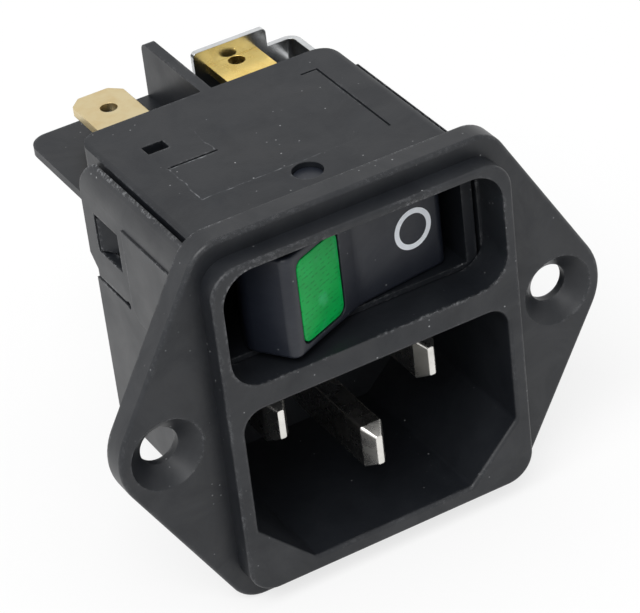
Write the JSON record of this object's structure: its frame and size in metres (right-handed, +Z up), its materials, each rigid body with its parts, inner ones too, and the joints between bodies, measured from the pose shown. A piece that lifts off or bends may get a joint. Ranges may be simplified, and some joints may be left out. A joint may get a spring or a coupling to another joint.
{
  "type": "c14 panel inlet socket",
  "caption": "Screw-on panel inlet with flat pins in a shaped cavity, a lit rocker switch above it and push-on tabs behind.",
  "frame": {"origin": "midway between the two screw holes, on the flange face that bears on the panel", "axes": "+X right as seen from the front, +Y back through the panel, +Z up towards the switch"},
  "size_m": [0.0442, 0.0361, 0.034],
  "materials": {
    "housing_plastic": "black glass-filled nylon, semi-gloss",
    "case_plastic": "black moulded plastic, semi-gloss",
    "plate_plastic": "black insulating plate, matte",
    "rocker_plastic": "black moulded plastic, satin",
    "lens_green": "translucent green plastic",
    "lamp_glass": "clear glass tube",
    "resistor_ceramic": "lacquered resistor body",
    "lead_wire": "tinned wire",
    "plunger_plastic": "natural white plastic",
    "spring_steel": "drawn spring wire",
    "contact_brass": "bright stamped brass",
    "contact_silver": "silver contact rivet",
    "tab_brass": "bright stamped brass",
    "tab_tinned": "tinned brass, warm",
    "pin_nickel": "nickel plated brass",
    "link_tinned": "bright tinned strip"
  },
  "bodies": {
    "module": {"front_housing": "housing_plastic", "switch_case": "case_plastic", "rear_plate": "plate_plastic", "fixed_contact": "contact_silver", "pivot_terminal": "contact_brass", "switched_terminal": "tab_tinned", "neutral_tab": "tab_brass", "lamp_spring_live": "spring_steel", "lamp_spring_neutral": "spring_steel", "live_pin": "pin_nickel", "neutral_pin": "pin_nickel", "earth_pin": "pin_nickel", "live_link": "contact_brass", "link_strip": "link_tinned"},
    "switch_rocker": {"rocker": "rocker_plastic", "rocker_lens": "lens_green", "neon_lamp": "lamp_glass", "lamp_resistor": "resistor_ceramic", "lamp_lead_live": "lead_wire", "lamp_lead_neutral": "lead_wire", "lamp_lead_link": "lead_wire", "plunger_spring": "spring_steel"},
    "plunger": {"contact_plunger": "plunger_plastic"},
    "contact_arm": {"contact_rocker": "contact_brass", "moving_contact": "contact_silver"}
  },
  "joints": [
    {"name": "rocker_tilt", "type": "hinge", "parent": "module", "child": "switch_rocker", "pos_m": [0.00035, 0.00485, 0.0095], "axis": [0, 0, 1], "range_deg": [-31, 0], "deforming": ["lamp_spring_live", "lamp_spring_neutral"]},
    {"name": "plunger_slide", "type": "slide", "parent": "switch_rocker", "child": "plunger", "axis": [-0.2672, 0.9636, 0], "range_m": [-0.0006, 0], "stiffness_N_per_m": 150, "springref_m": 0.002, "deforming": ["plunger_spring"]},
    {"name": "contact_tilt", "type": "hinge", "parent": "module", "child": "contact_arm", "pos_m": [0.00035, 0.01363, 0.0095], "axis": [0, 0, 1], "range_deg": [-1, 12]}
  ],
  "couplings": [
    {"joint": "contact_tilt", "follows": "rocker_tilt", "ratio": -0.32258}
  ]
}
